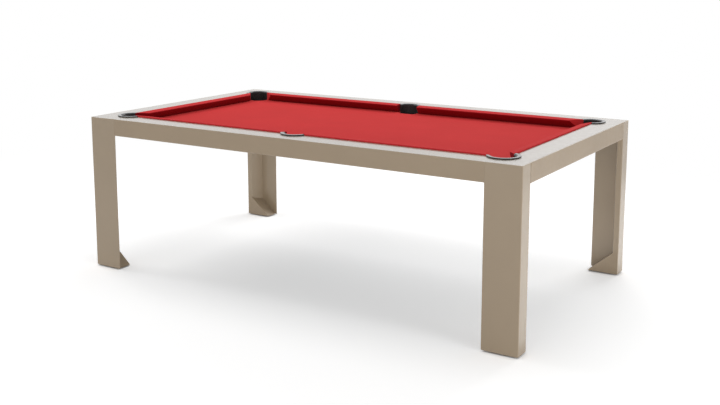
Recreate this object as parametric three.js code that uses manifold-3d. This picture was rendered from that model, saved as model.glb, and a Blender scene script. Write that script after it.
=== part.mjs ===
// A seven-foot pool table with a steel frame: four folded-sheet legs, channel aprons, a flush top rail,
// a slate bed with cloth, six cushions, six pockets and four screw-in levelling feet.
// Millimetres, +Z up, +X along the table, the front long side towards -Y.
// The origin lies on the floor under the middle of the table.
import * as THREE from 'three';
import { mergeVertices } from 'three/addons/utils/BufferGeometryUtils.js';
import Module from 'manifold-3d';

const wasm = await Module();
wasm.setup();

// ---------------------------------------------------------------- driving dimensions
const LENGTH = 2320; // over the legs
const WIDTH = 1320; // over the legs
const HEIGHT = 770; // floor to the top of the rail
const GAP = 0.3; // clearance between pieces that seat on each other
const SHEET = 4; // folded steel of the legs, aprons and corner brackets

// legs
const LEG_ALONG = 160; // width of the leg on the long side
const LEG_ACROSS = 80; // width of the leg on the end
const COLUMN_END = 28; // how far the column's inner face runs along the leg
const COLUMN_SIDE = 53; // where the slanted fold meets the wide plate
const FLOOR_GAP = 6; // the steel stays this far above the floor
const BOX_ALONG = 152; // reach of the foot box along the leg
const SLOPE_RISE = 129; // rise of the foot's sloping plate over that reach
const BASE_SHEET = 4; // floor of the foot box

// levelling feet
const FOOT_FROM_END = 100; // axis of the screw, from the end of the table
const FOOT_FROM_SIDE = 42; // axis of the screw, from the side of the table
const FOOT_RADIUS = 20;
const FOOT_EDGE = 1; // chamfer of the pad
const STEM_RADIUS = 5;
const STEM_CLEARANCE = 0.3;
const STEM_LENGTH = 30; // above the pad
const NUT_ACROSS_FLATS = 17;
const NUT_HEIGHT = 10;

// aprons
const APRON_HEIGHT = 83;
const LIP_WIDTH = 40; // inward fold that carries the cross beams
const LIP_SHEET = 3;

// top rail
const RAIL_WIDTH = 118; // outer face of the table to the cushion
const RAIL_SHEET = 6;

// bed
const BED_DROP = 38; // top of the rail to the cloth
const CLOTH = 1.7;
const SLATE = 20;
const SLATE_UNDER_RAIL = 52; // how far the slate runs out under the rail

// cushions
const CUSHION_DEPTH = 42; // inner edge of the rail to the cushion's nose
const NOSE_HEIGHT = 36; // above the cloth
const NOSE_BLUNT = 3; // height of the rounded nose
const CUSHION_RISE = 6; // crest of the cushion above the rail
const CUSHION_CREST = 8; // width of the crest
const CUSHION_FOOT = 18; // width of the cushion where it stands on the cloth

// pockets
const POCKET_SET_BACK = 18; // pocket axis, outward from the line of the noses
const POCKET_RADIUS = 50;
const LINER_WALL = 7.5;
const RIM_WIDTH = 20; // collar that lies on the rail, from the hole outward
const RIM_RISE = 5; // thickness of the collar
const RIM_EDGE = 1.5; // chamfer of the collar's outer edge
const RIM_ROLL = 5; // rounding of its inner edge, down into the hole
const CORNER_TIP = 83; // cushion tips, from the corner of the noses
const CORNER_JAW_ANGLE = 53.6; // degrees off square
const MIDDLE_TIP = 61; // cushion tips, from the middle of the side
const MIDDLE_JAW_ANGLE = 4; // degrees off square
const MIDDLE_EAR = 12; // a middle liner's wall runs this far past the rail, between the cushions
const MIDDLE_SHELF = 12; // the slate runs this far under the line of the noses, on the field's side
const CUP_DEPTH = 66; // cloth to the floor of the cup
const CUP_WALL = 3;
const CUP_TAPER = 15; // radius lost towards the floor of the cup
const CUP_FLANGE = 9;
const BLOCK_CLEARANCE = 5; // rail blocks to the pocket liners

// underframe
const BEAM_COUNT = 6;
const BEAM_WIDTH = 50;
const BEAM_SHEET = 2;
const FIRST_BEAM = 260; // middle of the end beams, from the ends of the table
const BRACKET_ALONG = 258;
const BRACKET_ACROSS = 200;
const BRACKET_HEIGHT = 58;
const BRACKET_ABOVE_LIP = 4;

// fineness of round shapes
const ROUND_STEPS = 40;
const SMALL_STEPS = 20;

// ---------------------------------------------------------------- sizes that follow from them
const HALF_LENGTH = LENGTH / 2;
const HALF_WIDTH = WIDTH / 2;
const APRON_BOTTOM = HEIGHT - APRON_HEIGHT;
const LIP_TOP = APRON_BOTTOM + LIP_SHEET;
const RAIL_BOTTOM = HEIGHT - RAIL_SHEET;
const CLOTH_TOP = HEIGHT - BED_DROP;
const SLATE_TOP = CLOTH_TOP - CLOTH - GAP;
const SLATE_BOTTOM = SLATE_TOP - SLATE;
const SLATE_INSET = RAIL_WIDTH - SLATE_UNDER_RAIL; // edge of the slate, from the outer faces
const NOSE_INSET = RAIL_WIDTH + CUSHION_DEPTH; // cushion's nose, from the outer faces
const POCKET_INSET = NOSE_INSET - POCKET_SET_BACK; // pocket axis, from the outer faces
const LINER_RADIUS = POCKET_RADIUS + LINER_WALL;
const CORNER_JAW_RUN = CUSHION_DEPTH * Math.tan(THREE.MathUtils.degToRad(CORNER_JAW_ANGLE));
const MIDDLE_JAW_RUN = CUSHION_DEPTH * Math.tan(THREE.MathUtils.degToRad(MIDDLE_JAW_ANGLE));
const SLOPE = SLOPE_RISE / BOX_ALONG;
const SLANT = (COLUMN_SIDE - COLUMN_END) / (LEG_ACROSS - SHEET);
const SLANT_LENGTH = Math.hypot(1, SLANT);

// ---------------------------------------------------------------- materials
function paint(color, roughness, metalness = 0) {
  return new THREE.MeshStandardMaterial({ color, roughness, metalness });
}

const framePaint = paint('#9e8e7a', 0.45);
const railPaint = paint('#d2cfca', 0.4);
const steelPaint = paint('#3b3a39', 0.6);
const zinc = paint('#8d9093', 0.4, 0.9);
const blackRubber = paint('#1c1b1b', 0.7);
const blackLeather = paint('#262322', 0.6);
const redCloth = paint('#b3262a', 0.95);
const slateStone = paint('#5b6064', 0.8);
const beech = paint('#b9926a', 0.7);

// ---------------------------------------------------------------- shape helpers
function solidOf(geometry) {
  const bare = geometry.clone();
  bare.deleteAttribute('normal');
  bare.deleteAttribute('uv');
  const merged = mergeVertices(bare, 1e-4);
  return new wasm.Manifold(new wasm.Mesh({
    numProp: 3,
    vertProperties: new Float32Array(merged.attributes.position.array),
    triVerts: new Uint32Array(merged.index.array),
  }));
}

function geometryOf(solid) {
  const mesh = solid.getMesh();
  const geometry = new THREE.BufferGeometry();
  geometry.setAttribute('position', new THREE.BufferAttribute(new Float32Array(mesh.vertProperties), 3));
  geometry.setIndex(new THREE.BufferAttribute(new Uint32Array(mesh.triVerts), 1));
  return geometry;
}

function join(first, ...others) {
  return geometryOf(others.reduce((sum, other) => sum.add(solidOf(other)), solidOf(first)));
}

function cut(first, ...others) {
  return geometryOf(others.reduce((rest, other) => rest.subtract(solidOf(other)), solidOf(first)));
}

function common(first, second) {
  return geometryOf(solidOf(first).intersect(solidOf(second)));
}

// an outline in plan, raised from one height to another
function prism(points, low, high, holes = []) {
  const shape = new THREE.Shape(points.map(([x, y]) => new THREE.Vector2(x, y)));
  for (const hole of holes) {
    shape.holes.push(new THREE.Path(hole.map(([x, y]) => new THREE.Vector2(x, y))));
  }
  const geometry = new THREE.ExtrudeGeometry(shape, { depth: high - low, bevelEnabled: false });
  return geometry.translate(0, 0, low);
}

// an outline in (y, z), drawn out along X
function alongX(points, start, end) {
  const geometry = prism(points, start, end);
  const axes = [new THREE.Vector3(0, 1, 0), new THREE.Vector3(0, 0, 1), new THREE.Vector3(1, 0, 0)];
  return geometry.applyMatrix4(new THREE.Matrix4().makeBasis(...axes));
}

// an outline in (x, z), drawn out along Y
function alongY(points, start, end) {
  const geometry = prism(points, -end, -start);
  return geometry.rotateX(Math.PI / 2);
}

function block([x0, y0, z0], [x1, y1, z1]) {
  const geometry = new THREE.BoxGeometry(x1 - x0, y1 - y0, z1 - z0);
  return geometry.translate((x0 + x1) / 2, (y0 + y1) / 2, (z0 + z1) / 2);
}

function drum(radius, x, y, low, high, steps = ROUND_STEPS) {
  const geometry = new THREE.CylinderGeometry(radius, radius, high - low, steps);
  return geometry.rotateX(Math.PI / 2).translate(x, y, (low + high) / 2);
}

// a profile of (radius, height) pairs turned about a vertical axis
function turned(profile, steps) {
  const points = profile.map(([radius, height]) => new THREE.Vector2(radius, height));
  return new THREE.LatheGeometry(points, steps).rotateX(Math.PI / 2);
}

// the mirror image in X of a shape, with its faces still pointing out
function mirrored(geometry) {
  const image = geometry.index ? geometry.toNonIndexed() : geometry.clone();
  image.deleteAttribute('normal');
  image.deleteAttribute('uv');
  const position = image.attributes.position;
  for (let i = 0; i < position.count; i += 3) {
    const [a, b, c] = [0, 1, 2].map((k) => new THREE.Vector3().fromBufferAttribute(position, i + k));
    position.setXYZ(i, -a.x, a.y, a.z);
    position.setXYZ(i + 1, -c.x, c.y, c.z);
    position.setXYZ(i + 2, -b.x, b.y, b.z);
  }
  return mergeVertices(image, 1e-4);
}

function piece(name, geometry, material) {
  const mesh = new THREE.Mesh(geometry, material);
  mesh.name = name;
  return mesh;
}

// ---------------------------------------------------------------- places
// Each corner is drawn as the front left one: x runs inward from the end, y inward from the side.
const CORNERS = [
  { name: 'front_left', x: -HALF_LENGTH, y: -HALF_WIDTH, turn: 0, mirror: false },
  { name: 'front_right', x: HALF_LENGTH, y: -HALF_WIDTH, turn: 0, mirror: true },
  { name: 'back_right', x: HALF_LENGTH, y: HALF_WIDTH, turn: Math.PI, mirror: false },
  { name: 'back_left', x: -HALF_LENGTH, y: HALF_WIDTH, turn: Math.PI, mirror: true },
];

// Each side is drawn as the front one: x runs along it from its middle, y inward from its outer face.
const SIDES = [
  { name: 'front', x: 0, y: -HALF_WIDTH, turn: 0, half: HALF_LENGTH, long: true },
  { name: 'right', x: HALF_LENGTH, y: 0, turn: Math.PI / 2, half: HALF_WIDTH, long: false },
  { name: 'back', x: 0, y: HALF_WIDTH, turn: Math.PI, half: HALF_LENGTH, long: true },
  { name: 'left', x: -HALF_LENGTH, y: 0, turn: -Math.PI / 2, half: HALF_WIDTH, long: false },
];

function placeGroup({ x, y, turn }) {
  const group = new THREE.Group();
  group.position.set(x, y, 0);
  group.rotation.z = turn;
  return group;
}

// ---------------------------------------------------------------- legs and feet
// the outer face of the column's slanted fold, moved outward by a distance square to it
function slantAt(y, out = 0) {
  return COLUMN_SIDE - SLANT * (y - SHEET) + out * SLANT_LENGTH;
}

function legShape() {
  const top = RAIL_BOTTOM - GAP;
  const outer = [
    [0, 0],
    [LEG_ALONG, 0],
    [LEG_ALONG, SHEET],
    [COLUMN_SIDE, SHEET],
    [COLUMN_END, LEG_ACROSS],
    [0, LEG_ACROSS],
  ];
  const hollow = [
    [SHEET, SHEET],
    [slantAt(SHEET, -SHEET), SHEET],
    [slantAt(LEG_ACROSS - SHEET, -SHEET), LEG_ACROSS - SHEET],
    [SHEET, LEG_ACROSS - SHEET],
  ];
  const skin = [
    [0, 0],
    [LEG_ALONG, 0],
    [LEG_ALONG, SHEET],
    [SHEET, SHEET],
    [SHEET, LEG_ACROSS],
    [0, LEG_ACROSS],
  ];
  const column = cut(prism(outer, FLOOR_GAP, top, [hollow]), footPlateRoom());
  return join(column, prism(skin, top, HEIGHT));
}

// height of the sloping plate's upper face
function slopeAt(x) {
  return FLOOR_GAP + SLOPE * (BOX_ALONG - x);
}

// where the foot box's front plate runs across the column's narrow face
function footPlateRoom() {
  const shape = [
    [SHEET, 0],
    [COLUMN_SIDE, 0],
    [COLUMN_SIDE, slopeAt(COLUMN_SIDE) + GAP],
    [SHEET, slopeAt(SHEET) + GAP],
  ];
  return alongY(shape, LEG_ACROSS - SHEET - GAP, LEG_ACROSS + SHEET);
}

function footBoxShape() {
  const below = SHEET * Math.hypot(1, SLOPE); // the plate's thickness, measured straight down
  const inside = FLOOR_GAP + BASE_SHEET;
  const insideTip = BOX_ALONG - (BASE_SHEET + below) / SLOPE;
  const edge = SHEET + GAP;
  const front = LEG_ACROSS - SHEET;
  const wedge = alongY(
    [[edge, FLOOR_GAP], [BOX_ALONG, FLOOR_GAP], [edge, slopeAt(edge)]],
    edge,
    LEG_ACROSS,
  );
  const room = alongY([[0, inside], [insideTip, inside], [0, slopeAt(0) - below]], 0, front);
  const column = prism(
    [[0, 0], [slantAt(0, GAP), 0], [slantAt(front, GAP), front], [0, front]],
    0,
    slopeAt(0),
  );
  const hole = drum(
    STEM_RADIUS + STEM_CLEARANCE, FOOT_FROM_END, FOOT_FROM_SIDE, 0, inside + GAP, SMALL_STEPS,
  );
  return cut(wedge, room, column, hole);
}

function nutShape() {
  const corner = NUT_ACROSS_FLATS / Math.sqrt(3);
  const low = FLOOR_GAP + BASE_SHEET + GAP;
  const body = drum(corner, FOOT_FROM_END, FOOT_FROM_SIDE, low, low + NUT_HEIGHT, 6);
  const bore = drum(
    STEM_RADIUS + STEM_CLEARANCE, FOOT_FROM_END, FOOT_FROM_SIDE,
    low - GAP, low + NUT_HEIGHT + GAP, SMALL_STEPS,
  );
  return cut(body, bore);
}

function levellingFootShape() {
  const padTop = FLOOR_GAP - GAP;
  const shape = turned([
    [0, 0],
    [FOOT_RADIUS - FOOT_EDGE, 0],
    [FOOT_RADIUS, FOOT_EDGE],
    [FOOT_RADIUS, padTop - FOOT_EDGE],
    [FOOT_RADIUS - FOOT_EDGE, padTop],
    [STEM_RADIUS, padTop],
    [STEM_RADIUS, padTop + STEM_LENGTH],
    [0, padTop + STEM_LENGTH],
  ], SMALL_STEPS);
  return shape.translate(FOOT_FROM_END, FOOT_FROM_SIDE, 0);
}

function cornerBracketShape() {
  const inner = SHEET + GAP;
  const far = inner + SHEET;
  const beside = LEG_ACROSS + GAP;
  const low = LIP_TOP + BRACKET_ABOVE_LIP;
  const outline = [
    [BRACKET_ALONG, inner],
    [slantAt(inner, GAP), inner],
    [slantAt(beside, GAP), beside],
    [inner, beside],
    [inner, BRACKET_ACROSS],
    [far, BRACKET_ACROSS],
    [far, beside + SHEET],
    [slantAt(beside + SHEET, inner), beside + SHEET],
    [slantAt(far, inner), far],
    [BRACKET_ALONG, far],
  ];
  return prism(outline, low, low + BRACKET_HEIGHT);
}

// ---------------------------------------------------------------- pockets
// the quadrant inside both rails, where the cushions leave no room for the liner
function fieldSide(start) {
  return block([start, start, 0], [HALF_WIDTH, HALF_WIDTH, HEIGHT + HEIGHT]);
}

// the half inside one rail
function fieldHalf(start) {
  return block([-HALF_WIDTH, start, 0], [HALF_WIDTH, WIDTH, HEIGHT + HEIGHT]);
}

function linerProfile() {
  const rim = POCKET_RADIUS + RIM_WIDTH;
  const seat = HEIGHT + GAP;
  const top = seat + RIM_RISE;
  const low = SLATE_BOTTOM - GAP;
  const rolled = 1 - Math.SQRT1_2; // how far the middle of a quarter round lies from its two faces
  return [
    [POCKET_RADIUS, low],
    [LINER_RADIUS, low],
    [LINER_RADIUS, seat],
    [rim, seat],
    [rim, top - RIM_EDGE],
    [rim - RIM_EDGE, top],
    [POCKET_RADIUS + RIM_ROLL, top],
    [POCKET_RADIUS + RIM_ROLL * rolled, top - RIM_ROLL * rolled],
    [POCKET_RADIUS, top - RIM_ROLL],
    [POCKET_RADIUS, low],
  ];
}

function cornerLinerShape() {
  const ring = turned(linerProfile(), ROUND_STEPS).translate(POCKET_INSET, POCKET_INSET, 0);
  return cut(ring, fieldSide(RAIL_WIDTH - GAP));
}

// the collar ends at the cushions, and the wall runs on a little between them
function middleLinerShape() {
  const ring = turned(linerProfile(), ROUND_STEPS).translate(0, POCKET_INSET, 0);
  const between = block(
    [-LINER_RADIUS, 0, 0],
    [LINER_RADIUS, RAIL_WIDTH + MIDDLE_EAR, HEIGHT + HEIGHT],
  );
  return cut(ring, cut(fieldHalf(RAIL_WIDTH - GAP), between));
}

function cupShape() {
  const top = SLATE_BOTTOM - GAP - GAP;
  const floor = CLOTH_TOP - CUP_DEPTH;
  const outer = POCKET_RADIUS + CUP_WALL;
  const narrow = POCKET_RADIUS - CUP_TAPER;
  return turned([
    [0, floor - CUP_WALL],
    [narrow + CUP_WALL / 2, floor - CUP_WALL],
    [outer, floor + CUP_TAPER - CUP_WALL],
    [outer, top - CUP_WALL],
    [outer + CUP_FLANGE, top - CUP_WALL],
    [outer + CUP_FLANGE, top],
    [POCKET_RADIUS, top],
    [POCKET_RADIUS, floor + CUP_TAPER],
    [narrow, floor],
    [0, floor],
  ], ROUND_STEPS);
}

// ---------------------------------------------------------------- sides
function apronShape(side) {
  const half = side.half - (side.long ? LEG_ALONG : LEG_ACROSS) - GAP;
  const channel = [
    [0, APRON_BOTTOM],
    [LIP_WIDTH, APRON_BOTTOM],
    [LIP_WIDTH, LIP_TOP],
    [SHEET, LIP_TOP],
    [SHEET, HEIGHT],
    [0, HEIGHT],
  ];
  return alongX(channel, -half, half);
}

function topRailShape(side) {
  const outer = SHEET + GAP;
  const outerHalf = side.half - outer - GAP;
  const innerHalf = side.half - RAIL_WIDTH - GAP;
  const low = RAIL_BOTTOM;
  const plate = prism(
    [[-outerHalf, outer], [outerHalf, outer], [innerHalf, RAIL_WIDTH], [-innerHalf, RAIL_WIDTH]],
    low,
    HEIGHT,
  );
  const across = side.half - POCKET_INSET;
  const places = side.long ? [-across, 0, across] : [-across, across];
  const notches = places.map((x) => drum(LINER_RADIUS + GAP, x, POCKET_INSET, low - GAP, HEIGHT + GAP));
  return cut(plate, ...notches);
}

// from one pocket to the next along a side, as [start, end, whether each end meets a corner pocket]
function cushionRuns(side) {
  const corner = side.half - NOSE_INSET - CORNER_TIP;
  if (!side.long) return [{ name: side.name, start: -corner, end: corner, from: 'corner', to: 'corner' }];
  const [first, second] = side.name === 'front' ? ['left', 'right'] : ['right', 'left'];
  return [
    { name: `${side.name}_${first}`, start: -corner, end: -MIDDLE_TIP, from: 'corner', to: 'middle' },
    { name: `${side.name}_${second}`, start: MIDDLE_TIP, end: corner, from: 'middle', to: 'corner' },
  ];
}

function jawRun(kind) {
  return kind === 'corner' ? CORNER_JAW_RUN : MIDDLE_JAW_RUN;
}

function cushionShape(run) {
  const back = RAIL_WIDTH + GAP;
  const low = CLOTH_TOP + GAP;
  const nose = CLOTH_TOP + NOSE_HEIGHT;
  const crest = HEIGHT + CUSHION_RISE;
  const profile = [
    [back, low],
    [back + CUSHION_FOOT, low],
    [NOSE_INSET - NOSE_BLUNT, nose - 2 * NOSE_BLUNT],
    [NOSE_INSET, nose - NOSE_BLUNT / 2],
    [NOSE_INSET, nose + NOSE_BLUNT / 2],
    [NOSE_INSET - NOSE_BLUNT, nose + NOSE_BLUNT],
    [back + CUSHION_CREST, crest],
    [back + NOSE_BLUNT / 2, crest],
    [back, crest - NOSE_BLUNT / 2],
  ];
  const startBack = run.start - jawRun(run.from);
  const endBack = run.end + jawRun(run.to);
  const plan = prism(
    [[startBack, RAIL_WIDTH], [endBack, RAIL_WIDTH], [run.end, NOSE_INSET], [run.start, NOSE_INSET]],
    CLOTH_TOP,
    crest + GAP,
  );
  return common(alongX(profile, startBack - GAP, endBack + GAP), plan);
}

function railBlockShape(side, run) {
  const cornerStart = side.half - POCKET_INSET - LINER_RADIUS - BLOCK_CLEARANCE;
  const middleStart = LINER_RADIUS + BLOCK_CLEARANCE;
  const start = run.from === 'corner' ? -cornerStart : middleStart;
  const end = run.to === 'corner' ? cornerStart : -middleStart;
  return block([start, SLATE_INSET, SLATE_TOP + GAP], [end, RAIL_WIDTH - GAP, RAIL_BOTTOM - GAP]);
}

// ---------------------------------------------------------------- bed
// what the four corner pockets and the two middle ones take out of a plate, between two heights
function pocketCuts(low, high) {
  const cuts = [];
  for (const corner of CORNERS) {
    const sx = Math.sign(corner.x);
    const sy = Math.sign(corner.y);
    const x = sx * (HALF_LENGTH - POCKET_INSET);
    const y = sy * (HALF_WIDTH - POCKET_INSET);
    const beyond = POCKET_INSET + GAP;
    cuts.push(drum(POCKET_RADIUS, x, y, low, high));
    cuts.push(block(
      [Math.min(x, x + sx * beyond), Math.min(y, y + sy * beyond), low],
      [Math.max(x, x + sx * beyond), Math.max(y, y + sy * beyond), high],
    ));
    const inner = RAIL_WIDTH + GAP;
    const wall = cut(
      drum(LINER_RADIUS + GAP, x, y, low, high),
      block([-HALF_LENGTH + inner, -HALF_WIDTH + inner, low - GAP],
        [HALF_LENGTH - inner, HALF_WIDTH - inner, high + GAP]),
    );
    cuts.push(wall);
  }
  for (const sy of [-1, 1]) {
    const y = sy * (HALF_WIDTH - POCKET_INSET);
    const edge = sy * (HALF_WIDTH - NOSE_INSET - MIDDLE_SHELF);
    const outside = sy * (HALF_WIDTH + GAP);
    const inner = HALF_WIDTH - RAIL_WIDTH - MIDDLE_EAR - GAP;
    cuts.push(common(
      drum(POCKET_RADIUS, 0, y, low, high),
      block([-LINER_RADIUS, Math.min(edge, outside), low - GAP],
        [LINER_RADIUS, Math.max(edge, outside), high + GAP]),
    ));
    cuts.push(block(
      [-POCKET_RADIUS, Math.min(y, outside), low],
      [POCKET_RADIUS, Math.max(y, outside), high],
    ));
    cuts.push(cut(
      drum(LINER_RADIUS + GAP, 0, y, low, high),
      block([-HALF_LENGTH, -inner, low - GAP], [HALF_LENGTH, inner, high + GAP]),
    ));
  }
  return cuts;
}

function bedPlate(inset, low, high) {
  const plate = block([-HALF_LENGTH + inset, -HALF_WIDTH + inset, low],
    [HALF_LENGTH - inset, HALF_WIDTH - inset, high]);
  return cut(plate, ...pocketCuts(low - GAP, high + GAP));
}

function crossBeamShape(x) {
  const half = HALF_WIDTH - SHEET - GAP - SHEET - GAP;
  const low = LIP_TOP + GAP;
  const high = SLATE_BOTTOM - GAP;
  const tube = block([x - BEAM_WIDTH / 2, -half, low], [x + BEAM_WIDTH / 2, half, high]);
  const bore = block(
    [x - BEAM_WIDTH / 2 + BEAM_SHEET, -half - GAP, low + BEAM_SHEET],
    [x + BEAM_WIDTH / 2 - BEAM_SHEET, half + GAP, high - BEAM_SHEET],
  );
  return cut(tube, bore);
}

// ---------------------------------------------------------------- assembly
function buildCorner(corner) {
  const group = placeGroup(corner);
  const here = (shape) => (corner.mirror ? mirrored(shape) : shape);
  group.add(piece(`leg_${corner.name}`, here(legShape()), framePaint));
  group.add(piece(`foot_box_${corner.name}`, here(footBoxShape()), framePaint));
  group.add(piece(`foot_nut_${corner.name}`, here(nutShape()), zinc));
  group.add(piece(`levelling_foot_${corner.name}`, here(levellingFootShape()), blackRubber));
  group.add(piece(`corner_bracket_${corner.name}`, here(cornerBracketShape()), steelPaint));
  group.add(piece(`pocket_liner_${corner.name}`, here(cornerLinerShape()), blackLeather));
  const cup = cupShape().translate(POCKET_INSET, POCKET_INSET, 0);
  group.add(piece(`pocket_cup_${corner.name}`, here(cup), blackRubber));
  return group;
}

function buildSide(side) {
  const group = placeGroup(side);
  group.add(piece(`apron_${side.name}`, apronShape(side), framePaint));
  group.add(piece(`top_rail_${side.name}`, topRailShape(side), railPaint));
  for (const run of cushionRuns(side)) {
    group.add(piece(`cushion_${run.name}`, cushionShape(run), redCloth));
    group.add(piece(`rail_block_${run.name}`, railBlockShape(side, run), beech));
  }
  if (side.long) {
    group.add(piece(`pocket_liner_middle_${side.name}`, middleLinerShape(), blackLeather));
    const cup = cupShape().translate(0, POCKET_INSET, 0);
    group.add(piece(`pocket_cup_middle_${side.name}`, cup, blackRubber));
  }
  return group;
}

const group = new THREE.Group();
for (const corner of CORNERS) group.add(buildCorner(corner));
for (const side of SIDES) group.add(buildSide(side));
group.add(piece('slate_bed', bedPlate(SLATE_INSET, SLATE_BOTTOM, SLATE_TOP), slateStone));
group.add(piece('bed_cloth', bedPlate(RAIL_WIDTH + GAP, SLATE_TOP + GAP, CLOTH_TOP), redCloth));
for (let i = 0; i < BEAM_COUNT; i += 1) {
  const x = THREE.MathUtils.lerp(-HALF_LENGTH + FIRST_BEAM, HALF_LENGTH - FIRST_BEAM, i / (BEAM_COUNT - 1));
  group.add(piece(`cross_beam_${i + 1}`, crossBeamShape(x), steelPaint));
}

export default group;
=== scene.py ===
import math

import bmesh
import bpy
from mathutils import Matrix, Vector
from mathutils.geometry import tessellate_polygon


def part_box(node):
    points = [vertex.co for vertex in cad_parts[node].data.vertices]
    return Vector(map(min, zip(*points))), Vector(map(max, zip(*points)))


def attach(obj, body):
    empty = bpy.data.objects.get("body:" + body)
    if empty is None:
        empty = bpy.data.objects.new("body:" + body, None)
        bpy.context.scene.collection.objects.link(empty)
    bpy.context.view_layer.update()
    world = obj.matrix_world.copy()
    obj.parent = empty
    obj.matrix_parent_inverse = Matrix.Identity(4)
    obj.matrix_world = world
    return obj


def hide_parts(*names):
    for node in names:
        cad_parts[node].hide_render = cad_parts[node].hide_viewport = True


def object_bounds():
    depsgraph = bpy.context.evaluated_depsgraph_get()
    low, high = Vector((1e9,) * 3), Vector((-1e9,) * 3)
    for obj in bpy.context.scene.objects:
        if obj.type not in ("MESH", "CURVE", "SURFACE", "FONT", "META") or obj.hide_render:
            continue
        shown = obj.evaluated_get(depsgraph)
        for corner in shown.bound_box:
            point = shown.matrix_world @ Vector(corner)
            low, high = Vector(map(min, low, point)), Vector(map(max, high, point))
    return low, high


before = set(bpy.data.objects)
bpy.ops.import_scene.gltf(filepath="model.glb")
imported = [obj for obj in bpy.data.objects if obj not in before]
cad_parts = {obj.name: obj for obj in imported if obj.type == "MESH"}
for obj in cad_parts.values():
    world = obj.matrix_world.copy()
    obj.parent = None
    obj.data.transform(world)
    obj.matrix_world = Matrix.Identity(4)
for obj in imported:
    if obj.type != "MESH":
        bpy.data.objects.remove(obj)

# A pool table: most CAD nodes get a finer shape in their place, and the rest a finish of their own.
CAD_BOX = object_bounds()

# ---------------------------------------------------------------- sizes, in metres
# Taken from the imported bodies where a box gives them, and otherwise as the CAD source has them.
HALF_LENGTH, HALF_WIDTH = CAD_BOX[1].x, CAD_BOX[1].y
RAIL_BOTTOM, RAIL_TOP = (corner.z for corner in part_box("top_rail_front"))
SLATE_BOTTOM, SLATE_TOP = (corner.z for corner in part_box("slate_bed"))
CLOTH_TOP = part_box("bed_cloth")[1].z
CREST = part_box("cushion_front_left")[1].z  # top of a cushion
APRON_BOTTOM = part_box("apron_front")[0].z
GAP = 0.0003  # clearance between pieces that seat on each other
SHEET = 0.004  # folded steel of the legs and aprons
LEG_ACROSS = 0.080  # width of a leg on the table's end
COLUMN_END = 0.028  # how far the column's inner face runs along the leg

RAIL_WIDTH = 0.118  # outer face of the table to the cushion
CUSHION_DEPTH = 0.042  # inner edge of the rail to the cushion's nose
NOSE_INSET = RAIL_WIDTH + CUSHION_DEPTH  # the nose, from the outer faces
NOSE_HEIGHT = 0.036  # above the cloth
CUSHION_FOOT = 0.018  # width of a cushion where it stands on the cloth
CORNER_TIP = 0.083  # a cushion's tip, from the corner of the noses
CORNER_RUN = CUSHION_DEPTH * math.tan(math.radians(53.6))  # its back reaches this far past the tip
MIDDLE_TIP = 0.061  # a cushion's tip, from the middle of the side
MIDDLE_RUN = CUSHION_DEPTH * math.tan(math.radians(4))

POCKET_INSET = NOSE_INSET - 0.018  # a pocket's axis, from the outer faces
POCKET_RADIUS = 0.050
LINER_RADIUS = POCKET_RADIUS + 0.0075  # outside of the pocket's wall
RIM_RADIUS = POCKET_RADIUS + 0.020  # outside of the collar that lies on the rail
RIM_RISE = 0.005  # thickness of the collar
MIDDLE_SHELF = NOSE_INSET + 0.012  # the slate's edge at a middle pocket, from the outer face
MIDDLE_EAR = 0.012  # a middle liner's wall runs this far past the rail, between the cushions
CUP_WALL = 0.003
CUP_BEND = 0.015  # inside rounding of the cup's floor
CUP_FLANGE = 0.009

CORNERS = [("front_left", -1, -1), ("front_right", 1, -1), ("back_right", 1, 1), ("back_left", -1, 1)]
SIDES = [("front", 0), ("right", 90), ("back", 180), ("left", -90)]


# ---------------------------------------------------------------- camera, light and floor
def make_camera():
    data = bpy.data.cameras.new("camera")
    data.sensor_width = 36
    data.lens = 49.26
    data.shift_y = -0.11
    camera = bpy.data.objects.new("camera", data)
    camera.location = (2.577, -4.083, 1.521)
    downward, leftward = 9.12, 32.07
    camera.rotation_euler = (math.radians(90 - downward), 0, math.radians(leftward))
    bpy.context.scene.collection.objects.link(camera)
    bpy.context.scene.camera = camera


def seen_rays(tree):
    """1 for camera, glossy and transmission rays, 0 for the rays that light the object."""
    path = tree.nodes.new("ShaderNodeLightPath")
    seen = path.outputs["Is Camera Ray"]
    for kind in ("Is Glossy Ray", "Is Transmission Ray"):
        either = tree.nodes.new("ShaderNodeMath")
        either.operation = "MAXIMUM"
        tree.links.new(seen, either.inputs[0])
        tree.links.new(path.outputs[kind], either.inputs[1])
        seen = either.outputs[0]
    return seen


def make_world(strength):
    world = bpy.data.worlds.new("studio")
    bpy.context.scene.world = world
    world.use_nodes = True
    tree = world.node_tree
    tree.nodes.clear()
    out = tree.nodes.new("ShaderNodeOutputWorld")
    mix = tree.nodes.new("ShaderNodeMixShader")
    dim = tree.nodes.new("ShaderNodeBackground")
    white = tree.nodes.new("ShaderNodeBackground")
    dim.inputs["Color"].default_value = (1, 1, 1, 1)
    dim.inputs["Strength"].default_value = strength
    white.inputs["Color"].default_value = (1, 1, 1, 1)
    white.inputs["Strength"].default_value = 1.0
    tree.links.new(seen_rays(tree), mix.inputs["Fac"])
    tree.links.new(dim.outputs[0], mix.inputs[1])
    tree.links.new(white.outputs[0], mix.inputs[2])
    tree.links.new(mix.outputs[0], out.inputs["Surface"])


def make_lamp(name, place, target, size, power, diffuse=True, glossy=True):
    """A soft rectangular lamp, in metres and watts. diffuse says whether it lights matt surfaces, and
    glossy whether it shows in reflections."""
    data = bpy.data.lights.new(name, "AREA")
    data.shape = "RECTANGLE"
    data.size, data.size_y = size
    data.energy = power
    lamp = bpy.data.objects.new(name, data)
    lamp.visible_camera = False
    lamp.visible_diffuse = diffuse
    lamp.visible_glossy = glossy
    lamp.location = place
    lamp.rotation_euler = (Vector(target) - Vector(place)).to_track_quat("-Z", "Y").to_euler()
    bpy.context.scene.collection.objects.link(lamp)


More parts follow.
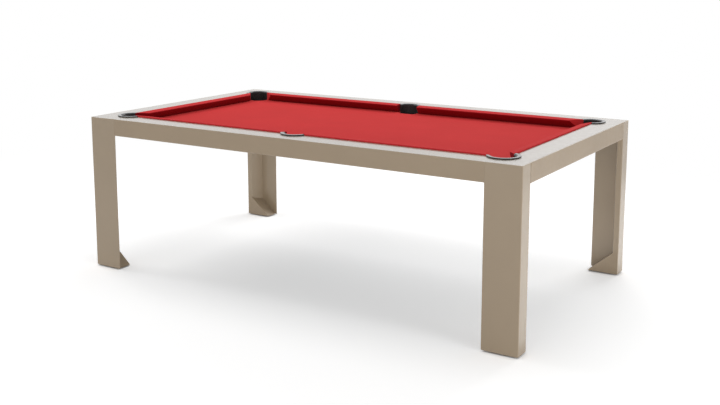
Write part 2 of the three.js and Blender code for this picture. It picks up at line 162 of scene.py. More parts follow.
def white_away(tree, start, end):
    """0 inside an oval round the table and 1 well outside it. start and end are in half table lengths."""
    place = tree.nodes.new("ShaderNodeTexCoord").outputs["Object"]
    oval = tree.nodes.new("ShaderNodeMapping")
    wider = 0.2
    oval.inputs["Scale"].default_value = (1 / HALF_LENGTH, 1 / (HALF_WIDTH + wider), 0)
    length = tree.nodes.new("ShaderNodeVectorMath")
    length.operation = "LENGTH"
    fade = tree.nodes.new("ShaderNodeMapRange")
    fade.interpolation_type = "SMOOTHSTEP"
    fade.inputs["From Min"].default_value = start
    fade.inputs["From Max"].default_value = end
    tree.links.new(place, oval.inputs["Vector"])
    tree.links.new(oval.outputs["Vector"], length.inputs[0])
    tree.links.new(length.outputs["Value"], fade.inputs["Value"])
    return fade.outputs["Result"]


def make_floor():
    """A white floor. It is seen a little lighter than it is lit, and plain white away from the table.
    Where something stands close over it the lift fades out, which paints a dark contact shadow there."""
    reach, lift_power = 40.0, 0.34
    mesh = bpy.data.meshes.new("floor")
    corners = [(-reach, -reach, 0), (reach, -reach, 0), (reach, reach, 0), (-reach, reach, 0)]
    mesh.from_pydata(corners, [], [(0, 1, 2, 3)])
    floor = bpy.data.objects.new("floor", mesh)
    bpy.context.scene.collection.objects.link(floor)
    mat = bpy.data.materials.new("floor_white")
    mat.use_nodes = True
    tree = mat.node_tree
    tree.nodes.clear()
    out = tree.nodes.new("ShaderNodeOutputMaterial")
    lit = tree.nodes.new("ShaderNodeBsdfDiffuse")
    lit.inputs["Color"].default_value = (0.92, 0.92, 0.92, 1)
    shown = tree.nodes.new("ShaderNodeBsdfDiffuse")
    shown.inputs["Color"].default_value = (1.0, 1.0, 1.0, 1)
    lift = tree.nodes.new("ShaderNodeEmission")
    # Ambient occlusion fades the lift out under the legs and feet: a painted contact shadow.
    painted_contact_shadow = tree.nodes.new("ShaderNodeAmbientOcclusion")
    painted_contact_shadow.inputs["Distance"].default_value = 0.05
    fade = tree.nodes.new("ShaderNodeMapRange")
    fade.inputs["From Min"].default_value = 0.3
    fade.inputs["From Max"].default_value = 0.8
    fade.inputs["To Max"].default_value = lift_power
    tree.links.new(painted_contact_shadow.outputs["AO"], fade.inputs["Value"])
    tree.links.new(fade.outputs["Result"], lift.inputs["Strength"])
    near = tree.nodes.new("ShaderNodeAddShader")
    white = tree.nodes.new("ShaderNodeEmission")
    seen = tree.nodes.new("ShaderNodeMixShader")
    mix = tree.nodes.new("ShaderNodeMixShader")
    tree.links.new(shown.outputs[0], near.inputs[0])
    tree.links.new(lift.outputs[0], near.inputs[1])
    tree.links.new(white_away(tree, 1.9, 3.8), seen.inputs["Fac"])
    tree.links.new(near.outputs[0], seen.inputs[1])
    tree.links.new(white.outputs[0], seen.inputs[2])
    tree.links.new(seen_rays(tree), mix.inputs["Fac"])
    tree.links.new(lit.outputs[0], mix.inputs[1])
    tree.links.new(seen.outputs[0], mix.inputs[2])
    tree.links.new(mix.outputs[0], out.inputs["Surface"])
    mesh.materials.append(mat)


bpy.context.scene.view_settings.view_transform = "Standard"
make_camera()
make_world(0.42)
make_lamp("overhead", (0, 0, 4.2), (0, 0, 0.7), (3.4, 2.4), 18)
make_lamp("left", (-3.6, -0.3, 3.8), (0, 0, 0.5), (2.0, 2.0), 53)
make_lamp("back", (0.5, 3.6, 3.6), (0, 0, 0.7), (3.0, 2.0), 76)
make_lamp("front", (0.5, -5.5, 1.0), (0, 0, 0.3), (6.0, 1.2), 47)
make_lamp("right", (3.2, -1.15, 1.5), (1.16, -0.45, 0.5), (1.2, 1.2), 5, glossy=False)
make_lamp("low_right", (6.5, -1.6, 0.6), (0, 0, 0.3), (1.5, 0.8), 76)
make_lamp("bright_floor", (1.8, 1.0, 0.01), (1.8, 1.0, 1), (1.2, 3.2), 8, diffuse=False)
make_lamp("floor_glow", (0.1, 0, 0.012), (0.1, 0, 1), (1.9, 1.0), 4.5)
make_floor()


# ---------------------------------------------------------------- materials
def srgb(*rgb):
    """A colour written as it looks on a screen, 0 to 255, as the shader wants it."""
    def linear(c):
        c /= 255
        return c / 12.92 if c <= 0.04045 else ((c + 0.055) / 1.055) ** 2.4
    return (*[linear(c) for c in rgb], 1.0)


def shade(color, factor):
    return (*[min(1.0, c * factor) for c in color[:3]], 1.0)


class Finish:
    """A Principled material that is built up from noise, at scales in the shared frame's metres."""

    def __init__(self, name, color, roughness, **fixed):
        self.mat = bpy.data.materials.new(name)
        self.mat.use_nodes = True
        self.tree = self.mat.node_tree
        self.bsdf = self.tree.nodes["Principled BSDF"]
        self.bsdf.inputs["Base Color"].default_value = color
        self.bsdf.inputs["Roughness"].default_value = roughness
        for key, value in fixed.items():
            self.bsdf.inputs[key.replace("_", " ")].default_value = value
        self.coordinates = self.tree.nodes.new("ShaderNodeTexCoord").outputs["Object"]

    def link(self, a, b):
        self.tree.links.new(a, b)

    def place(self, stretch=(1, 1, 1)):
        node = self.tree.nodes.new("ShaderNodeMapping")
        node.inputs["Scale"].default_value = stretch
        self.link(self.coordinates, node.inputs["Vector"])
        return node.outputs["Vector"]

    def noise(self, scale, detail=2.0, stretch=(1, 1, 1), distortion=0.0):
        node = self.tree.nodes.new("ShaderNodeTexNoise")
        node.inputs["Scale"].default_value = scale
        node.inputs["Detail"].default_value = detail
        node.inputs["Distortion"].default_value = distortion
        self.link(self.place(stretch), node.inputs["Vector"])
        return node.outputs["Fac"]

    def cells(self, scale):
        """0 at the edges between the grain's cells, and more towards their middles."""
        node = self.tree.nodes.new("ShaderNodeTexVoronoi")
        node.feature = "DISTANCE_TO_EDGE"
        node.inputs["Scale"].default_value = scale
        self.link(self.place(), node.inputs["Vector"])
        return node.outputs["Distance"]

    def waves(self, scale, direction, distortion):
        node = self.tree.nodes.new("ShaderNodeTexWave")
        node.bands_direction = direction
        node.inputs["Scale"].default_value = scale
        node.inputs["Distortion"].default_value = distortion
        self.link(self.place(), node.inputs["Vector"])
        return node.outputs["Fac"]

    def math(self, operation, a, b):
        node = self.tree.nodes.new("ShaderNodeMath")
        node.operation = operation
        for socket, value in zip(node.inputs, (a, b)):
            if isinstance(value, (int, float)):
                socket.default_value = value
            else:
                self.link(value, socket)
        return node.outputs[0]

    def ramp(self, value, low, high, start, end=1.0):
        """low to high as the value goes from start to end, and level beyond them."""
        node = self.tree.nodes.new("ShaderNodeMapRange")
        node.inputs["From Min"].default_value = start
        node.inputs["From Max"].default_value = end
        node.inputs["To Min"].default_value = low
        node.inputs["To Max"].default_value = high
        self.link(value, node.inputs["Value"])
        return node.outputs["Result"]

    def blend(self, factor, a, b):
        """A colour between a and b, each a colour or a socket."""
        node = self.tree.nodes.new("ShaderNodeMix")
        node.data_type = "RGBA"
        self.link(factor, node.inputs["Factor"])
        for socket, value in ((node.inputs[6], a), (node.inputs[7], b)):
            if isinstance(value, tuple):
                socket.default_value = value
            else:
                self.link(value, socket)
        return node.outputs[2]

    def undercut_shade_mask(self):
        """1 on upright and undercut faces that look towards the middle of the table, 0 elsewhere: the mask
        of the painted shade on a cushion's cloth.
        """
        geometry = self.tree.nodes.new("ShaderNodeNewGeometry")
        parts = self.tree.nodes.new("ShaderNodeSeparateXYZ")
        flat = self.tree.nodes.new("ShaderNodeVectorMath")
        flat.operation = "MULTIPLY"
        flat.inputs[1].default_value = (1, 1, 0)
        facing = self.tree.nodes.new("ShaderNodeVectorMath")
        facing.operation = "DOT_PRODUCT"
        self.link(geometry.outputs["Normal"], parts.inputs[0])
        self.link(geometry.outputs["Position"], flat.inputs[0])
        self.link(geometry.outputs["Normal"], facing.inputs[0])
        self.link(flat.outputs[0], facing.inputs[1])
        upright = self.ramp(parts.outputs["Z"], 1, 0, 0.12, 0.5)
        inward = self.ramp(facing.outputs["Value"], 1, 0, -0.04, -0.01)
        return self.math("MULTIPLY", upright, inward)

    def paint(self, color):
        self.link(color, self.bsdf.inputs["Base Color"])

    def rough(self, value):
        self.link(value, self.bsdf.inputs["Roughness"])

    def bump(self, height, depth, strength):
        node = self.tree.nodes.new("ShaderNodeBump")
        node.inputs["Strength"].default_value = strength
        node.inputs["Distance"].default_value = depth
        self.link(height, node.inputs["Height"])
        before = self.bsdf.inputs["Normal"].links
        if before:
            self.link(before[0].from_socket, node.inputs["Normal"])
        self.link(node.outputs["Normal"], self.bsdf.inputs["Normal"])


def powder_coat(name, color, roughness, gloss=0.0, gloss_roughness=0.22, gloss_ior=1.5):
    """Satin powder coating: a faint cloudiness, and the fine orange peel of a baked coat."""
    f = Finish(name, color, roughness,
               Coat_Weight=gloss, Coat_Roughness=gloss_roughness, Coat_IOR=gloss_ior)
    cloud = f.noise(5.0, detail=3)
    f.paint(f.blend(f.ramp(cloud, 0, 1, 0.3, 0.7), shade(color, 0.975), shade(color, 1.02)))
    f.rough(f.ramp(f.noise(38.0), roughness - 0.03, roughness + 0.04, 0.3, 0.7))
    f.bump(f.noise(420.0, detail=1), 0.00004, 0.35)
    return f.mat


def worsted(name, color, inward=None):
    """Worsted cloth: crossed yarns, a short nap that leans along the table, and a soft cloudiness.
    inward is a painted shade: the darker colour that a cushion's faces that look into the table take in
    place of the cloth's own, standing in for the shade under the nose."""
    f = Finish(name, color, 0.92, Specular_IOR_Level=0.08, Sheen_Weight=0.05, Sheen_Roughness=0.4)
    f.bsdf.inputs["Sheen Tint"].default_value = srgb(255, 170, 160)
    cloud = f.noise(4.0, detail=3)
    nap = f.noise(900.0, stretch=(0.25, 1, 1))
    base = f.blend(f.ramp(cloud, 0, 1, 0.3, 0.7), shade(color, 0.96), shade(color, 1.03))
    # Painted shade: a cushion's faces that look into the table take the darker inward colour.
    if inward:
        f.paint(f.blend(f.undercut_shade_mask(), base, inward))
    else:
        f.paint(f.blend(f.ramp(nap, 0, 0.35, 0.35, 0.75), base, shade(color, 0.72)))
    yarn = f.math("MULTIPLY", f.waves(260.0, "X", 0.6), f.waves(260.0, "Y", 0.6))
    f.bump(yarn, 0.00012, 0.25)
    f.bump(nap, 0.0002, 0.3)
    return f.mat


def grained_leather(name, color):
    f = Finish(name, color, 0.5, Specular_IOR_Level=0.35)
    grain = f.cells(900.0)
    f.paint(f.blend(f.ramp(f.noise(60.0), 0, 1, 0.3, 0.7), shade(color, 0.85), shade(color, 1.15)))
    f.rough(f.ramp(grain, 0.62, 0.46, 0.0, 0.25))
    f.bump(grain, 0.00025, 0.5)
    return f.mat


def polished_black(name, color):
    """A pocket's collar: a black moulding, polished on its flat top and dull where it rolls over."""
    flat_from, gloss = 0.85, 0.6
    f = Finish(name, color, 0.22, Coat_Roughness=0.08)
    parts = f.tree.nodes.new("ShaderNodeSeparateXYZ")
    f.link(f.tree.nodes.new("ShaderNodeNewGeometry").outputs["Normal"], parts.inputs[0])
    f.link(f.ramp(parts.outputs["Z"], 0, gloss, flat_from), f.bsdf.inputs["Coat Weight"])
    f.paint(f.blend(f.ramp(f.noise(40.0), 0, 1, 0.3, 0.7), shade(color, 0.85), shade(color, 1.2)))
    f.rough(f.ramp(f.noise(160.0), 0.2, 0.3, 0.3, 0.7))
    f.bump(f.noise(300.0, detail=1), 0.00006, 0.3)
    return f.mat


def moulded_rubber(name, color):
    f = Finish(name, color, 0.62, Specular_IOR_Level=0.4)
    f.paint(f.blend(f.ramp(f.noise(25.0), 0, 1, 0.3, 0.7), shade(color, 0.85), shade(color, 1.2)))
    f.rough(f.ramp(f.noise(180.0), 0.55, 0.72, 0.3, 0.7))
    f.bump(f.noise(700.0), 0.00008, 0.4)
    return f.mat


def plated_steel(name, color):
    f = Finish(name, color, 0.34, Metallic=0.9)
    cloud = f.noise(70.0, detail=4)
    f.paint(f.blend(f.ramp(cloud, 0, 1, 0.3, 0.7), shade(color, 0.85), shade(color, 1.08)))
    f.rough(f.ramp(f.noise(240.0), 0.28, 0.42, 0.3, 0.7))
    return f.mat


def split_slate(name, color):
    f = Finish(name, color, 0.8, Specular_IOR_Level=0.35)
    layers = f.noise(9.0, detail=5, stretch=(1, 1, 6), distortion=0.6)
    f.paint(f.blend(f.ramp(layers, 0, 1, 0.25, 0.75), shade(color, 0.8), shade(color, 1.2)))
    f.rough(f.ramp(f.noise(60.0, detail=4), 0.7, 0.88, 0.3, 0.7))
    f.bump(layers, 0.0008, 0.3)
    return f.mat


def beech_wood(name, color):
    f = Finish(name, color, 0.6, Specular_IOR_Level=0.35)
    rings = f.noise(14.0, detail=4, stretch=(0.4, 6, 6), distortion=0.8)
    flecks = f.noise(260.0, stretch=(0.15, 1, 1))
    base = f.blend(f.ramp(rings, 0, 1, 0.3, 0.7), shade(color, 0.8), shade(color, 1.1))
    f.paint(f.blend(f.ramp(flecks, 0, 0.5, 0.55, 0.75), base, shade(color, 0.55)))
    f.bump(flecks, 0.0002, 0.3)
    return f.mat


FRAME_PAINT = powder_coat("frame_paint", srgb(166, 147, 123), 0.42)
LEG_PAINT = powder_coat("leg_paint", srgb(163, 144, 119), 0.42, gloss=0.5)
# rail_paint is the frame's paint under a clear coat. Its base is set darker than the frame's to offset the
# stronger light on the rails' top, which is painted shade.
RAIL_PAINT = powder_coat("rail_paint", srgb(134, 121, 104), 0.42, 1.0, 0.13, 1.55)
STEEL_PAINT = powder_coat("steel_paint", srgb(60, 59, 58), 0.55)
CLOTH = worsted("red_cloth", srgb(209, 56, 57))
# The cushion cloth's inward colour is painted shade on its nose and undercut.
CUSHION_CLOTH = worsted("cushion_cloth", srgb(205, 54, 57), inward=srgb(140, 14, 24))
LEATHER = grained_leather("black_leather", srgb(32, 29, 28))
COLLAR = polished_black("polished_black", srgb(26, 25, 26))
RUBBER = moulded_rubber("black_rubber", srgb(30, 29, 29))
ZINC = plated_steel("zinc_steel", srgb(188, 190, 193))
SLATE = split_slate("slate", srgb(92, 97, 101))
BEECH = beech_wood("beech", srgb(193, 155, 115))


# ---------------------------------------------------------------- shapes
SHARP_ANGLE = math.radians(38)  # edges that turn by more than this stay crisp
AXIS = 0.0001  # a turned profile stays this far off its axis


def to_object(name, bm, material):
    """A smooth-shaded object from a bmesh, which this frees."""
    bmesh.ops.remove_doubles(bm, verts=bm.verts, dist=1e-7)
    bmesh.ops.recalc_face_normals(bm, faces=bm.faces)
    mesh = bpy.data.meshes.new(name)
    bm.to_mesh(mesh)
    bm.free()
    mesh.materials.append(material)
    mesh.shade_smooth()
    mesh.set_sharp_from_angle(angle=SHARP_ANGLE)
    obj = bpy.data.objects.new(name, mesh)
    bpy.context.scene.collection.objects.link(obj)
    even = obj.modifiers.new("even_normals", "WEIGHTED_NORMAL")
    even.keep_sharp = True
    even.weight = 80
    return obj


def belongs(obj, slot, *nodes, body="table"):
    """obj rides on a body and stands for these CAD nodes, which it hides. slot is not used."""
    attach(obj, body)
    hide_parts(*nodes)


def second_material(obj, material, above):
    """A second finish, for the faces above a height."""
    obj.data.materials.append(material)
    for face in obj.data.polygons:
        if face.center.z > above:
            face.material_index = 1


def rounding(radius, steps):
    """(back, in) pairs round a corner, from a radius back on one side to a radius in on the other."""
    quarter = [math.pi / 2 * k / steps for k in range(steps + 1)]
    return [(radius * (1 - math.sin(t)), radius * (1 - math.cos(t))) for t in quarter]


def arc(cx, cy, radius, start, end, steps):
    """Points on an arc between two angles in degrees."""
    angles = [math.radians(start + (end - start) * k / steps) for k in range(steps + 1)]
    return [(cx + radius * math.cos(t), cy + radius * math.sin(t)) for t in angles]


def notch_angle(radius, depth):
    """The angle, in degrees, at which a circle of that radius crosses a line this far from its centre."""
    return math.degrees(math.asin(depth / radius))


def area_of(points):
    return sum(a[0] * b[1] - b[0] * a[1] for a, b in zip(points, points[1:] + points[:1])) / 2


def inset(points, distance):
    """A closed outline moved inward by a distance, corner by corner."""
    if not distance:
        return list(points)
    sharpest = 0.2  # keeps a very sharp corner from running away
    side = 1 if area_of(points) > 0 else -1
    moved = []
    for i, here in enumerate(points):
        before, after = Vector(points[i - 1]), Vector(points[(i + 1) % len(points)])
        here = Vector(here)
        a, b = (here - before).normalized(), (after - here).normalized()
        na, nb = Vector((-a.y, a.x)) * side, Vector((-b.y, b.x)) * side
        middle = na + nb
        moved.append(tuple(here + middle * (distance / max(middle.dot(na), sharpest))))
    return moved


def filleted(points, radius, steps=4):
    """A closed outline with its corners rounded. radius is one value, or one for each corner."""
    radii = radius if isinstance(radius, list) else [radius] * len(points)
    most = 0.49  # of an edge, so that two roundings never meet on it
    made = []
    for i, r in enumerate(radii):
        here = Vector(points[i])
        before, after = Vector(points[i - 1]), Vector(points[(i + 1) % len(points)])
        a, b = before - here, after - here
        half = a.angle(b) / 2
        reach = r / math.tan(half)
        if reach < 1e-7:
            made.append(tuple(here))
            continue
        reach = min(reach, most * a.length, most * b.length)
        r = reach * math.tan(half)
        start, end = here + a.normalized() * reach, here + b.normalized() * reach
        centre = here + (a.normalized() + b.normalized()).normalized() * (r / math.sin(half))
        u, v = start - centre, end - centre
        turn = u.angle_signed(v)
        for k in range(steps + 1):
            t = -turn * k / steps
            made.append((centre.x + u.x * math.cos(t) - u.y * math.sin(t),
                         centre.y + u.x * math.sin(t) + u.y * math.cos(t)))
    return made


def cap(bm, *loops):
    """Faces that close one or more loops of vertices: the first is the outline and the rest are holes."""
    flat = [v for loop in loops for v in loop]
    if len(loops) == 1 and len(flat) <= 4:
        bm.faces.new(flat)
        return
    for triangle in tessellate_polygon([[v.co for v in loop] for loop in loops]):
        bm.faces.new([flat[i] for i in triangle])


def skin(bm, rings, where=None):
    """Quads between successive rings of vertices. where says which of a ring's points have them."""
    n = len(rings[0])
    for a, b in zip(rings, rings[1:]):
        for i in range(n):
            j = (i + 1) % n
            if not where or where[i] and where[j]:
                bm.faces.new((a[i], a[j], b[j], b[i]))


def bar(bm, rings):
    """A closed bar from its successive rings of vertices."""
    skin(bm, rings)
    cap(bm, rings[0])
    cap(bm, rings[-1])


def plate_with_hole(bm, outline, hole, low, high, rim):
    """A flat plate with rounded rims, outside and round its hole."""
    rounded = rounding(rim, 3)
    levels = [(low + back, d) for back, d in reversed(rounded)]
    levels += [(high - back, d) for back, d in rounded]
    loops = []
    for points, side in ((outline, 1), (hole, -1)):
        rings = [[bm.verts.new((x, y, z)) for x, y in inset(points, side * d)] for z, d in levels]
        skin(bm, rings)
        loops.append(rings)
    cap(bm, *[rings[0] for rings in loops])
    cap(bm, *[rings[-1] for rings in loops])


def lathe(bm, profile, steps, centre):
    """A closed profile of (radius, height) turned right round a vertical axis."""
    rings = []
    for angle in [2 * math.pi * k / steps for k in range(steps)]:
        rings.append([bm.verts.new((centre[0] + radius * math.cos(angle),
                                    centre[1] + radius * math.sin(angle), z)) for radius, z in profile])
    skin(bm, rings + [rings[0]])


def softened(name, node, material, rim, fold=0.0, is_fold=None):
    """A CAD node's shape with its edges rounded: the folds that is_fold picks by fold, and the rest
    by rim."""
    flat, crisp = math.radians(0.5), math.radians(25)
    bm = bmesh.new()
    bm.from_mesh(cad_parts[node].data)
    bmesh.ops.remove_doubles(bm, verts=bm.verts, dist=1e-6)
    bmesh.ops.dissolve_limit(bm, angle_limit=flat, verts=bm.verts, edges=bm.edges)

    def edges(test):
        return [e for e in bm.edges
                if len(e.link_faces) == 2 and e.calc_face_angle(0) > crisp and test(e)]

    def round_off(chosen, width, segments):
        bmesh.ops.bevel(bm, geom=chosen, offset=width, offset_type="OFFSET", segments=segments,
                        profile=0.5, affect="EDGES", clamp_overlap=True)

    if fold:
        round_off(edges(is_fold), fold, 5)
    round_off(edges(lambda e: True), rim, 2)
    return to_object(name, bm, material)


def corner_place(sx, sy):
    """From a corner's own frame to the shared one: x is inward from the end and y from the side."""
    return lambda x, y, z: (sx * (HALF_LENGTH - x), sy * (HALF_WIDTH - y), z)


def middle_place(sy):
    """From a middle pocket's own frame to the shared one: x is along the side and y inward from it."""
    return lambda x, y, z: (x, sy * (HALF_WIDTH - y), z)


def side_place(turn):
    """From a side's own frame to the shared one: x is along it from its middle and y inward from it."""
    reach = HALF_WIDTH if turn in (0, 180) else HALF_LENGTH
    matrix = Matrix.Rotation(math.radians(turn), 4, "Z")
    return lambda x, y, z: tuple(matrix @ Vector((x, y - reach, z)))


# ---------------------------------------------------------------- frame
NEAR = 0.001  # two places this close are taken as the same


def leg_fold(sx, sy):
    """A test for the upright folds of a corner's leg that show as rounded."""
    def test(e):
        middle, d = (e.verts[0].co + e.verts[1].co) / 2, e.verts[0].co - e.verts[1].co
        x, y = HALF_LENGTH - sx * middle.x, HALF_WIDTH - sy * middle.y
        on_end = abs(x) < NEAR and (abs(y) < NEAR or abs(y - LEG_ACROSS) < NEAR)
        on_column = abs(x - COLUMN_END) < NEAR and abs(y - LEG_ACROSS) < NEAR
        return abs(d.z) > 0.99 * d.length and (on_end or on_column)
    return test


def apron_fold(e):
    """Whether an edge is the long lower one of an apron's outer face."""
    low = all(abs(v.co.z - APRON_BOTTOM) < NEAR for v in e.verts)
    outside = all(abs(v.co.x) > HALF_LENGTH - NEAR or abs(v.co.y) > HALF_WIDTH - NEAR for v in e.verts)
    return low and outside and e.calc_length() > 0.2


def make_corner(name, sx, sy):
    """A leg of folded sheet with its foot box, nut and bracket."""
    leg = softened(f"leg_shell_{name}", f"leg_{name}", LEG_PAINT,
                   rim=0.0004, fold=0.0038, is_fold=leg_fold(sx, sy))
    belongs(leg, "frame_paint", f"leg_{name}")
    foot = softened(f"foot_wedge_{name}", f"foot_box_{name}", FRAME_PAINT, rim=0.0012)
    belongs(foot, "frame_paint", f"foot_box_{name}")
    nut = softened(f"hex_nut_{name}", f"foot_nut_{name}", ZINC, rim=0.0006)
    belongs(nut, "zinc_steel", f"foot_nut_{name}")
    bracket = softened(f"bracket_plate_{name}", f"corner_bracket_{name}", STEEL_PAINT, rim=0.0008)
    belongs(bracket, "dark_steel", f"corner_bracket_{name}")


def make_apron(name):
    apron = softened(f"apron_channel_{name}", f"apron_{name}", FRAME_PAINT,
                     rim=0.0004, fold=0.0045, is_fold=apron_fold)
    belongs(apron, "frame_paint", f"apron_{name}")


def around(quarter):
    """A closed outline round the table from the points of its front right quarter, which run
    from the middle of the front to the middle of the right end."""
    points = []
    for sx, sy in ((1, -1), (1, 1), (-1, 1), (-1, -1)):
        run = [(sx * x, sy * -y) for x, y in quarter]
        points += run if sx * sy < 0 else run[::-1]
    kept = []
    for p in points:
        if not kept or (Vector(p) - Vector(kept[-1])).length > 1e-6:
            kept.append(p)
    if (Vector(kept[0]) - Vector(kept[-1])).length < 1e-6:
        kept.pop()
    return kept


def rail_inner_outline():
    """The inner edge of the top rail: straight beside the cushions, and round the pocket liners."""
    cx, cy = HALF_LENGTH - POCKET_INSET, POCKET_INSET - HALF_WIDTH
    radius = LINER_RADIUS + GAP
    a = notch_angle(radius, POCKET_INSET - RAIL_WIDTH)
    return around([
        *arc(0, cy, radius, -90, -a, 14),
        *arc(cx, cy, radius, -180 + a, 90 - a, 40),
        (HALF_LENGTH - RAIL_WIDTH, 0),
    ])


def make_rail():
    """The four top rails as one frame, which lies inside the upright sheet of the legs and aprons."""
    x, y = HALF_LENGTH - SHEET - GAP, HALF_WIDTH - SHEET - GAP
    outline = filleted([(-x, -y), (x, -y), (x, y), (-x, y)], 0.001)
    bm = bmesh.new()
    plate_with_hole(bm, outline, rail_inner_outline(), RAIL_BOTTOM, RAIL_TOP, rim=0.0008)
    rail = to_object("top_rail_frame", bm, RAIL_PAINT)
    belongs(rail, "rail_paint", *[f"top_rail_{name}" for name, _ in SIDES])


for name, sx, sy in CORNERS:
    make_corner(name, sx, sy)
for name, _ in SIDES:
    make_apron(name)
make_rail()


# ---------------------------------------------------------------- cushions
def cushion_profile():
    """(inward, height) points round a cushion's section: cloth drawn over a rubber nose."""
    back, foot, nose = RAIL_WIDTH + GAP, CLOTH_TOP + GAP, CLOTH_TOP + NOSE_HEIGHT
    blunt, crest = 0.003, 0.009  # half the nose's height and the width of the top, before they are rounded
    points = [
        (back, foot),
        (back + CUSHION_FOOT, foot),
        (NOSE_INSET, nose - blunt),
        (NOSE_INSET, nose + blunt),
        (back + crest, CREST),
        (back, CREST),
    ]
    return filleted(points, [0.0005, 0.001, 0.0028, 0.0045, 0.009, 0.0045], 6)


def make_cushion(name, place, start, end, start_run, end_run):
    """start and end are the nose's tips; the runs are how far the back reaches past them."""
    bm = bmesh.new()
    profile = cushion_profile()
    rounded = rounding(0.0025, 4)
    rings = []
    for way, tip, run, steps in ((-1, start, start_run, rounded[::-1]), (1, end, end_run, rounded)):
        for back, d in steps:
            points = [(tip + way * (run * (NOSE_INSET - y) / CUSHION_DEPTH - back), y, z)
                      for y, z in inset(profile, d)]
            rings.append([bm.verts.new(place(*point)) for point in points])
    bar(bm, rings)
    cushion = to_object(f"cloth_cushion_{name}", bm, CUSHION_CLOTH)
    belongs(cushion, "red_cloth", f"cushion_{name}")


for name, turn in SIDES:
    place = side_place(turn)
    if name in ("front", "back"):
        tip = HALF_LENGTH - NOSE_INSET - CORNER_TIP
        first, second = ("left", "right") if name == "front" else ("right", "left")
        make_cushion(f"{name}_{first}", place, -tip, -MIDDLE_TIP, CORNER_RUN, MIDDLE_RUN)
        make_cushion(f"{name}_{second}", place, MIDDLE_TIP, tip, MIDDLE_RUN, CORNER_RUN)
    else:
        tip = HALF_WIDTH - NOSE_INSET - CORNER_TIP
        make_cushion(name, place, -tip, tip, CORNER_RUN, CORNER_RUN)


# ---------------------------------------------------------------- pockets
def liner_profile():
    """(radius, height) round a liner's section: the wall of the pocket under a rounded collar."""
    low, seat, top = SLATE_BOTTOM - GAP, RAIL_TOP + GAP, RAIL_TOP + GAP + RIM_RISE
    points = [
        (POCKET_RADIUS, low),
        (LINER_RADIUS, low),
        (LINER_RADIUS, seat),
        (RIM_RADIUS, seat),
        (RIM_RADIUS, top),
        (POCKET_RADIUS, top),
    ]
    return filleted(points, [0.0005, 0.0005, 0, 0.0006, 0.0012, 0.0085], 8)


def without_collar(profile):
    """The same section, cut off at the outside of the wall."""
    return [(min(r, LINER_RADIUS), z) for r, z in profile]


def make_liner(name, place, centre, axis, reach, ear=0.0):
    """A liner is a part of a ring, to both sides of the direction axis, in radians. Its collar is cut off
    where the cushions begin, and with an ear its wall runs on between them by that much."""
    profile = liner_profile()
    collar_end = POCKET_INSET - RAIL_WIDTH + GAP
    rim, count = 0.0010, 48
    bm = bmesh.new()

    def last_angle(radius, depth):
        """From that direction to where the ring meets a line this far from its centre."""
        return reach - math.asin(depth / radius)

    def rounded_end(section, depth):
        return [[(r, z, last_angle(r, depth) - back / r) for r, z in inset(section, d)]
                for back, d in reversed(rounding(rim, 3))]

    def vertex(r, z, angle):
        x, y = centre[0] + r * math.cos(axis + angle), centre[1] + r * math.sin(axis + angle)
        return bm.verts.new(place(x, y, z))

    if ear:
        wall = without_collar(profile)
        ends = rounded_end(wall, POCKET_INSET - RAIL_WIDTH - ear)
        ends += [[(r, z, last_angle(r, collar_end)) for r, z in section] for section in (wall, profile)]
    else:
        ends = rounded_end(profile, collar_end)
    stations = [[(r, z, -angle) for r, z, angle in points] for points in ends]
    for share in [2 * k / count - 1 for k in range(1, count)]:
        stations.append([(r, z, share * last_angle(r, collar_end)) for r, z in profile])
    stations += ends[::-1]
    bar(bm, [[vertex(*point) for point in points] for points in stations])
    liner = to_object(f"pocket_collar_{name}", bm, LEATHER)
    second_material(liner, COLLAR, above=RAIL_TOP)
    belongs(liner, "black_leather", f"pocket_liner_{name}")


def make_cup(name, x, y):
    """A moulded cup that hangs by its flange, with a rounded floor."""
    low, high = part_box(f"pocket_cup_{name}")
    inner, outer = POCKET_RADIUS, POCKET_RADIUS + CUP_WALL
    flange, floor, top = outer + CUP_FLANGE, low.z + CUP_WALL, high.z
    soft = 0.001
    inside = [(inner - back, floor + up) for back, up in rounding(CUP_BEND, 6)]
    outside = [(outer - back, low.z + up) for back, up in reversed(rounding(CUP_BEND + CUP_WALL, 6))]
    lip = [
        (inner, top - soft),
        (inner + soft, top),
        (flange - soft, top),
        (flange, top - soft),
        (flange, top - CUP_WALL + soft),
        (flange - soft, top - CUP_WALL),
        (outer, top - CUP_WALL),
    ]
    profile = [(AXIS, floor), *inside, *lip, *outside, (AXIS, low.z)]
    bm = bmesh.new()
    lathe(bm, profile, 56, (x, y))
    cup = to_object(f"drop_cup_{name}", bm, RUBBER)
    belongs(cup, "black_rubber", f"pocket_cup_{name}")


for name, sx, sy in CORNERS:
    centre = (POCKET_INSET, POCKET_INSET)
    make_liner(name, corner_place(sx, sy), centre, 1.25 * math.pi, 0.75 * math.pi)
    make_cup(name, sx * (HALF_LENGTH - POCKET_INSET), sy * (HALF_WIDTH - POCKET_INSET))
for name, sy in (("front", -1), ("back", 1)):
    centre = (0, POCKET_INSET)
    make_liner(f"middle_{name}", middle_place(sy), centre, 1.5 * math.pi, math.pi / 2, MIDDLE_EAR)
    make_cup(f"middle_{name}", 0, sy * (HALF_WIDTH - POCKET_INSET))


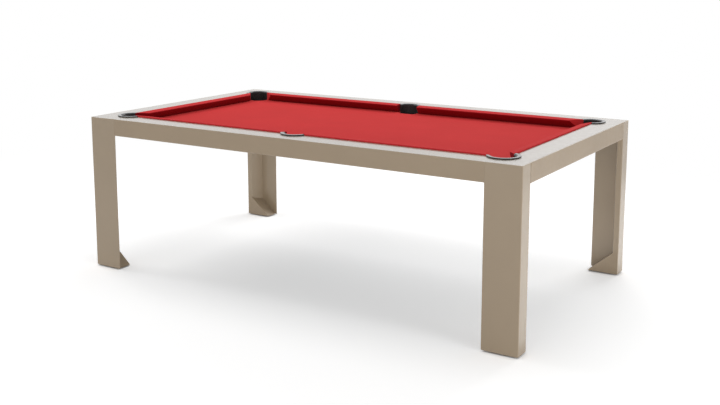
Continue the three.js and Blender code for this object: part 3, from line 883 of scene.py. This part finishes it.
# ---------------------------------------------------------------- bed cloth
def make_cloth():
    """One sheet over the slate, folded down round the rim of each pocket's cut-out."""
    cx, cy = HALF_LENGTH - POCKET_INSET, POCKET_INSET - HALF_WIDTH
    thickness = CLOTH_TOP - SLATE_TOP
    radius, wall = POCKET_RADIUS - thickness, LINER_RADIUS + GAP
    depth = POCKET_INSET - RAIL_WIDTH - GAP
    shelf, ear_end = MIDDLE_SHELF - HALF_WIDTH - thickness, depth - MIDDLE_EAR
    bend, drop = 0.0045, 0.019
    step = 0.00002  # just past a middle pocket's axis, where its fold ends
    a = notch_angle(radius, depth)
    outline = around([
        (0, shelf),
        *arc(0, cy, radius, notch_angle(radius, shelf - cy), 0, 12),
        (radius, cy - step),
        (radius, cy - ear_end),
        *arc(0, cy, wall, -notch_angle(wall, ear_end), -notch_angle(wall, depth), 4),
        *arc(cx, cy, radius, 180 + a, 90 - a, 40),
        (HALF_LENGTH - RAIL_WIDTH - GAP, 0),
    ])

    def falls(p):
        """Whether an edge point is on a pocket's cut-out, where the cloth folds down."""
        x, y = abs(p[0]), -abs(p[1])
        limit = radius + 0.0005
        near_corner = math.hypot(x - cx, y - cy) < limit
        near_middle = math.hypot(x, y - cy) < limit and y > cy - step / 2
        return near_corner or near_middle

    folded = [falls(p) for p in outline]
    bm = bmesh.new()
    rings = []
    for d, down in rounding(bend, 5) + [(0, bend + drop)]:
        points = [(*moved, CLOTH_TOP - down) if fold else (*still, CLOTH_TOP)
                  for moved, still, fold in zip(inset(outline, d), outline, folded)]
        rings.append([bm.verts.new(point) for point in points])
    skin(bm, rings, folded)
    cap(bm, rings[0])
    loose = [v for v in bm.verts if not v.link_faces]
    bmesh.ops.delete(bm, geom=loose, context="VERTS")
    sheet = to_object("stretched_bed_cloth", bm, CLOTH)
    belongs(sheet, "red_cloth", "bed_cloth")
    return sheet


cloth = make_cloth()


# ---------------------------------------------------------------- levelling feet
def make_foot(name):
    """A rubber pad on a threaded stem, which screws up into the foot box."""
    low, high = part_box(f"levelling_foot_{name}")
    centre = ((low.x + high.x) / 2, (low.y + high.y) / 2)
    radius, pad_top, soft = (high.x - low.x) / 2, 0.0057, 0.0012
    stem, thread, pitch = 0.005, 0.0006, 0.0015
    plain = 0.002  # unthreaded, at each end of the stem
    edge = [(radius - soft, 0), (radius - soft / 3, soft / 3), (radius, soft)]
    profile = [(AXIS, 0), *edge, *[(r, pad_top - z) for r, z in reversed(edge)]]
    profile += [(stem + plain, pad_top), (stem, pad_top + soft)]
    z = pad_top + plain
    while z < high.z - plain:
        profile += [(stem, z), (stem - thread, z + pitch / 2)]
        z += pitch
    profile += [(stem - thread, high.z - plain / 2), (stem - 2 * thread, high.z), (AXIS, high.z)]
    bm = bmesh.new()
    lathe(bm, profile, 40, centre)
    foot = to_object(f"screw_foot_{name}", bm, RUBBER)
    second_material(foot, ZINC, above=pad_top + 0.0002)
    belongs(foot, "black_rubber", f"levelling_foot_{name}", body=f"foot_{name}")


for name, _, _ in CORNERS:
    make_foot(name)


# ---------------------------------------------------------------- CAD pieces that stay
def dress(node, material):
    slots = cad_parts[node].data.materials
    slots.clear()
    slots.append(material)


dress("slate_bed", SLATE)
for i in range(1, 7):
    dress(f"cross_beam_{i}", STEEL_PAINT)
for name in ("front_left", "front_right", "right", "back_right", "back_left", "left"):
    dress(f"rail_block_{name}", BEECH)
